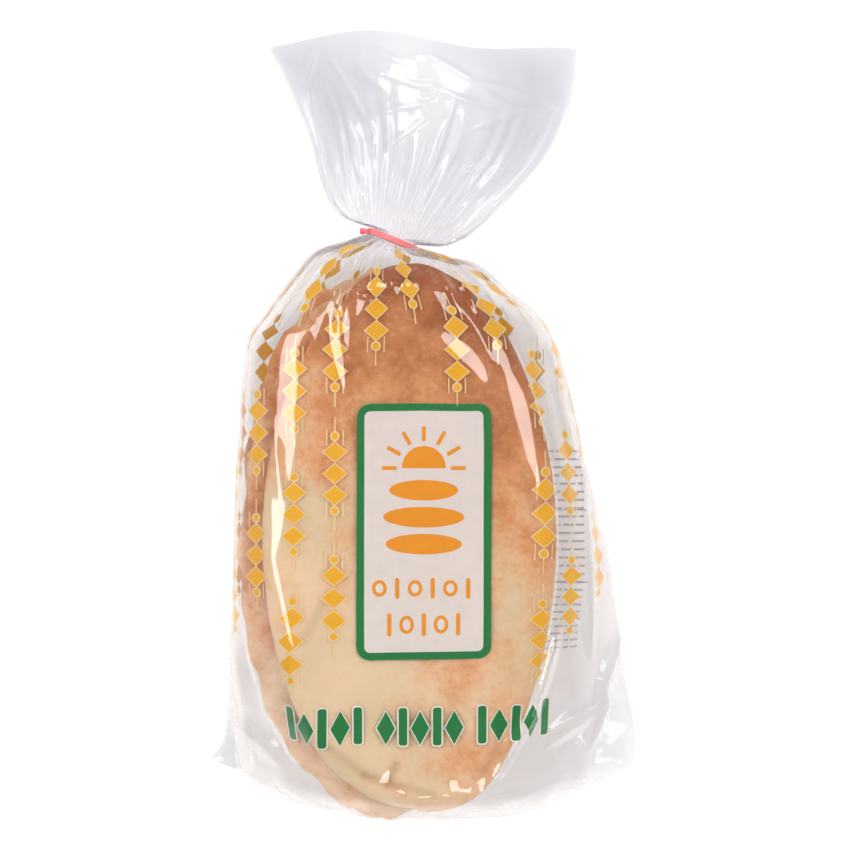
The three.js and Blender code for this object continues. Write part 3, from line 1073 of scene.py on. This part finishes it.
gold_ink = ink("gold_ink", 0xFFBE0A)
deep_gold_ink = ink("deep_gold_ink", 0xFFA400)
cream_ink = ink("cream_ink", 0xF7DFA6)
white_ink = ink("white_ink", 0xF8EDE6)
green_ink = ink("green_ink", 0x00843A)
grey_ink = ink("grey_ink", 0xD6D7DC)

# Every sprig is three lozenges on a stalk, with a dot at each end and short strokes beside the stalk.
LOZENGE_HALVES = (5.4 * MM, 4.6 * MM)
LOZENGE_STEP = 9 * MM
DOT_RADIUS = 2.1 * MM
DOT_UP = 15.5 * MM
STROKE_ACROSS = 3.4 * MM
STROKE_UP = 14.8 * MM
STROKE_SIZE = (0.5 * MM, 6.5 * MM)
STALK_UP = 20.5 * MM
STALK_SIZE = (0.55 * MM, 6 * MM)
bm = bmesh.new()
for y in (-LOZENGE_STEP, 0.0, LOZENGE_STEP):
    bordered(bm, disc(bm, 0.0, y, *LOZENGE_HALVES, segments=4), OUTLINE, 1)
for y in (-DOT_UP, DOT_UP):
    bordered(bm, disc(bm, 0.0, y, DOT_RADIUS, DOT_RADIUS, segments=12), OUTLINE, 1)
for side in (-1, 1):
    for end in (1, -1):
        bar(bm, side * STROKE_ACROSS, end * STROKE_UP, *STROKE_SIZE, 0, 1)
for end in (1, -1):
    bar(bm, 0.0, end * STALK_UP, *STALK_SIZE, 0, 1)

SPRIG_COLUMNS = 24
SPRIG_SPACING = 2 * SHEET_WIDTH / SPRIG_COLUMNS
SPRIG_FIRST = -102.5 * MM
SPRIG_PERIOD = 51 * MM
SPRIG_RISE = SPRIG_PERIOD / 3
SPRIG_LOWEST = 106 * MM
SPRIG_HIGHEST = 271 * MM
BACK_BARE_MARGIN = 42 * MM
FULL_WIDTH_ABOVE = 20 * MM
SIDE_MARGIN = 5 * MM
END_MARGIN = 20 * MM
PANEL_MIDDLE = (0.5 * MM, 150 * MM)
PANEL_SIZE = (54.5 * MM, 105 * MM)
places = []
for i in range(SPRIG_COLUMNS):
    across = SPRIG_FIRST + i * SPRIG_SPACING
    up = SPRIG_LOWEST + (i % 3) * SPRIG_RISE
    if SHEET_WIDTH / 2 < across < SHEET_WIDTH / 2 + BACK_BARE_MARGIN:
        continue
    while up < SPRIG_HIGHEST:
        row = bisect.bisect_right(row_lengths, up) - 1
        room = SHEET_WIDTH if up > GATHER_START + FULL_WIDTH_ABOVE else face_lengths[row]
        on_fold = across <= SHEET_WIDTH / 2 and abs(across) > room / 2 - SIDE_MARGIN
        beside = abs(across - PANEL_MIDDLE[0]) > PANEL_SIZE[0] / 2 + SIDE_MARGIN
        clear = abs(up - PANEL_MIDDLE[1]) > PANEL_SIZE[1] / 2 + END_MARGIN
        if not on_fold and (beside or clear):
            places.append((across, up))
        up += SPRIG_PERIOD
stick("print_sprigs", bm, places, PRINT_DEPTH, gold_ink, cream_ink)

# The panel is white, with rounded corners and a green border.
PANEL_CORNER = 5.5 * MM
PANEL_BORDER = 3.1 * MM
bm = bmesh.new()
bordered(bm, bar(bm, 0.0, 0.0, *PANEL_SIZE, PANEL_CORNER), PANEL_BORDER, 1)
stick("print_panel", bm, [PANEL_MIDDLE], PRINT_DEPTH, white_ink, green_ink)

# The emblem is a rising sun over three flat breads, with two rows of small bars and rings below them.
SUN_Y = 26 * MM
SUN_RADIUS = 9 * MM
bm = bmesh.new()
disc(bm, 0.0, SUN_Y, SUN_RADIUS, SUN_RADIUS, segments=32)
bmesh.ops.bisect_plane(
    bm,
    geom=bm.verts[:] + bm.edges[:] + bm.faces[:],
    plane_co=(0.0, SUN_Y, 0.0),
    plane_no=(0.0, -1.0, 0.0),
    clear_outer=True,
)
RAYS = 7
RAY_PLACE = 14 * MM
RAY_SIZE = (1.6 * MM, 6 * MM)
for i in range(RAYS):
    turn = math.pi * i / (RAYS - 1)
    x = RAY_PLACE * math.cos(turn)
    y = SUN_Y + RAY_PLACE * math.sin(turn)
    bar(bm, x, y, *RAY_SIZE, 0, 0, turn + math.pi / 2)
# The flat breads, each by half its width and its height on the panel.
FLAT_BREADS = ((14 * MM, 17 * MM), (16.5 * MM, 6 * MM), (15.5 * MM, -5 * MM))
FLAT_BREAD_HALF_HEIGHT = 4.2 * MM
for half_width, y in FLAT_BREADS:
    disc(bm, 0.0, y, half_width, FLAT_BREAD_HALF_HEIGHT, segments=32)
# Each row: its signs, their spacing, its height on the panel, and the heights of a bar and of half a ring.
EMBLEM_ROWS = (
    ("o|o|o|", 7.2 * MM, -23 * MM, 8.5 * MM, 3.4 * MM),
    ("|o|o|", 7 * MM, -38 * MM, 9.5 * MM, 3.8 * MM),
)
SIGN_BAR_WIDTH = 1.7 * MM
SIGN_BAR_CORNER = 0.8 * MM
RING_HALF_WIDTH = 3 * MM
RING_STROKE = 1.4 * MM
EMBLEM_LIFT = 0.05 * MM
for signs, spacing, y, bar_height, ring_height in EMBLEM_ROWS:
    for i, sign in enumerate(signs):
        x = (i - (len(signs) - 1) / 2) * spacing
        if sign == "|":
            bar(bm, x, y, SIGN_BAR_WIDTH, bar_height, SIGN_BAR_CORNER)
        else:
            bordered(bm, disc(bm, x, y, RING_HALF_WIDTH, ring_height, ink_index=1), RING_STROKE, 0)
stick("print_emblem", bm, [PANEL_MIDDLE], PRINT_DEPTH - EMBLEM_LIFT, deep_gold_ink, white_ink)

# The green row: lozenges and upright bars in three groups, with a pale outline.
ROW_GROUPS = ("|o|o|", "o|o|o", "|o|o|")
ROW_STEP = 7.0 * MM
ROW_GAP = 4.5 * MM
ROW_PLACE = (-1 * MM, 70 * MM)
ROW_BAR = (4.8 * MM, 16.8 * MM, 1.7 * MM)
ROW_LOZENGE_Y = -0.6 * MM
ROW_LOZENGE = (4.4 * MM, 7.6 * MM)
bm = bmesh.new()
width = sum(len(group) for group in ROW_GROUPS) * ROW_STEP + (len(ROW_GROUPS) - 1) * ROW_GAP
x = -width / 2 + ROW_STEP / 2
for group in ROW_GROUPS:
    for sign in group:
        if sign == "|":
            bordered(bm, bar(bm, x, 0.0, *ROW_BAR), OUTLINE, 1)
        else:
            bordered(bm, disc(bm, x, ROW_LOZENGE_Y, *ROW_LOZENGE, segments=4), OUTLINE, 1)
        x += ROW_STEP
    x += ROW_GAP
stick("print_row", bm, [ROW_PLACE], PRINT_DEPTH, green_ink, white_ink)

# The back's fields of small rules, with two long lines through each.
RULE_LINES = 26
LINE_SPACING = 3.4 * MM
LINE_START = -13 * MM
LINE_END = 10 * MM
RULE_LENGTHS = (2.0, 6.5)
RULE_HEIGHT = 0.9 * MM
RULE_GAP = 1.1 * MM
LONG_LINES = (-12 * MM, 18 * MM)
LONG_LINE_SIZE = (30 * MM, 0.5 * MM)
RULE_FIELDS = ((132 * MM, 140 * MM), (175 * MM, 140 * MM), (218 * MM, 140 * MM))
bm = bmesh.new()
draw = random.Random(7)
for i in range(RULE_LINES):
    y = (i - (RULE_LINES - 1) / 2) * LINE_SPACING
    x = LINE_START
    while x < LINE_END:
        length = draw.uniform(*RULE_LENGTHS) * MM
        bar(bm, x + length / 2, y, length, RULE_HEIGHT, 0)
        x += length + RULE_GAP
for y in LONG_LINES:
    bar(bm, 0.0, y, *LONG_LINE_SIZE, 0)
stick("print_rules", bm, RULE_FIELDS, PRINT_DEPTH, grey_ink)

# The twist tie
# A flat plastic ribbon over a thin wire, wound round the gathered neck and twisted at its ends. The plastic
# is extruded, so it is satin, and fine ribs and paler streaks run along it.
ribbon, tree = new_material("red_satin_ribbon")
place = add(tree, "ShaderNodeTexCoord").outputs["Object"]
streaks = add(tree, "ShaderNodeMapping", {"Vector": place, "Scale": (1.0, 6.0, 6.0)})
grain = add(tree, "ShaderNodeTexNoise", {"Vector": streaks.outputs["Vector"], "Scale": 700.0, "Detail": 3.0})
tone = add(tree, "ShaderNodeMix", {
    "Factor": grain.outputs["Fac"],
    "A": linear(0xE85F66),
    "B": linear(0xF08A8C),
}, data_type="RGBA")
ribs = add(tree, "ShaderNodeBump", {"Height": grain.outputs["Fac"], "Strength": 0.3, "Distance": 0.0002})
surface = add(tree, "ShaderNodeBsdfPrincipled", {
    "Base Color": tone.outputs["Result"],
    "Roughness": 0.38,
    "Normal": ribs.outputs["Normal"],
})
add(tree, "ShaderNodeOutputMaterial", {"Surface": surface.outputs["BSDF"]})
bpy.data.objects["twist_tie"].material_slots[0].material = ribbon

# The floor, the lights and the camera
# A plain white sweep. Large soft lights give the shading, and the film doesn't mirror them. Small windows
# that it does mirror glint on its folds. The camera looks straight down through a long lens.

# The frame is 850 pixels on a side, and a pixel is 0.415 mm.
FRAME_SIDE = 850 * 0.415 * MM
CAMERA_HEIGHT = 2.2
CAMERA_SUBJECT_HEIGHT = 0.03
SENSOR = 36.0

paper, tree = new_material("white_paper_sweep")
place = add(tree, "ShaderNodeTexCoord").outputs["Object"]
grain = add(tree, "ShaderNodeTexNoise", {"Vector": place, "Scale": 110.0, "Detail": 2.0})
tone = add(tree, "ShaderNodeMix", {
    "Factor": grain.outputs["Fac"],
    "A": linear(0xE6E6E6),
    "B": linear(0xEAEAEA),
}, data_type="RGBA")
surface = add(tree, "ShaderNodeBsdfPrincipled", {
    "Base Color": tone.outputs["Result"],
    "Roughness": 0.9,
    "Emission Color": linear(0xFFFFFF),
    "Emission Strength": 0.32,
})
add(tree, "ShaderNodeOutputMaterial", {"Surface": surface.outputs["BSDF"]})
bm = bmesh.new()
bmesh.ops.create_grid(bm, x_segments=1, y_segments=1, size=4.0)
floor = new_piece("floor", bm, paper)

# Each light: its name, place, width, height, power, and whether the film mirrors it.
LIGHTS = (
    ("left_light", (-0.95, 0.45, 1.3), 1.2, 1.2, 7.5, False),
    ("right_light", (0.95, 0.35, 1.3), 1.2, 1.2, 10.0, False),
    ("near_light", (0.1, -1.3, 1.2), 1.1, 1.1, 8.6, False),
    ("left_window", (-0.75, 0.1, 1.35), 0.75, 0.45, 6.8, True),
    ("right_window", (0.61, 0.27, 1.35), 0.6, 0.36, 4.1, True),
    ("near_window", (0.12, -0.7, 1.35), 0.3, 0.2, 1.2, True),
    ("far_window", (-0.12, 0.72, 1.35), 0.45, 0.24, 2.0, True),
)
for name, place, width, height, power, mirrored in LIGHTS:
    light = bpy.data.lights.new(name, "AREA")
    light.shape = "RECTANGLE"
    light.size = width
    light.size_y = height
    light.energy = power
    lamp = bpy.data.objects.new(name, light)
    lamp.visible_glossy = mirrored
    lamp.location = place
    lamp.rotation_euler = (-Vector(place)).to_track_quat("-Z", "Y").to_euler()
    bpy.context.scene.collection.objects.link(lamp)

# The room is bright round the horizon and dim overhead.
world = bpy.data.worlds.new("studio")
world.use_nodes = True
tree = world.node_tree
tree.nodes.clear()
direction = add(tree, "ShaderNodeTexCoord").outputs["Generated"]
split = add(tree, "ShaderNodeSeparateXYZ", {"Vector": direction})
glow = add(tree, "ShaderNodeMapRange", {
    "Value": split.outputs["Z"],
    "From Min": 0.15,
    "From Max": 0.75,
    "To Min": 0.95,
    "To Max": 0.16,
})
sky = add(tree, "ShaderNodeBackground", {"Color": linear(0xFFFFFF), "Strength": glow.outputs["Result"]})
add(tree, "ShaderNodeOutputWorld", {"Surface": sky.outputs["Background"]})
scene = bpy.context.scene
scene.world = world
scene.view_settings.view_transform = "Standard"
scene.cycles.transparent_max_bounces = 32

lens = bpy.data.cameras.new("camera")
lens.sensor_width = SENSOR
lens.lens = SENSOR * (CAMERA_HEIGHT - CAMERA_SUBJECT_HEIGHT) / FRAME_SIDE
camera = bpy.data.objects.new("camera", lens)
camera.location = drawing_middle + Vector((0.0, 0.0, CAMERA_HEIGHT))
scene.collection.objects.link(camera)
scene.camera = camera
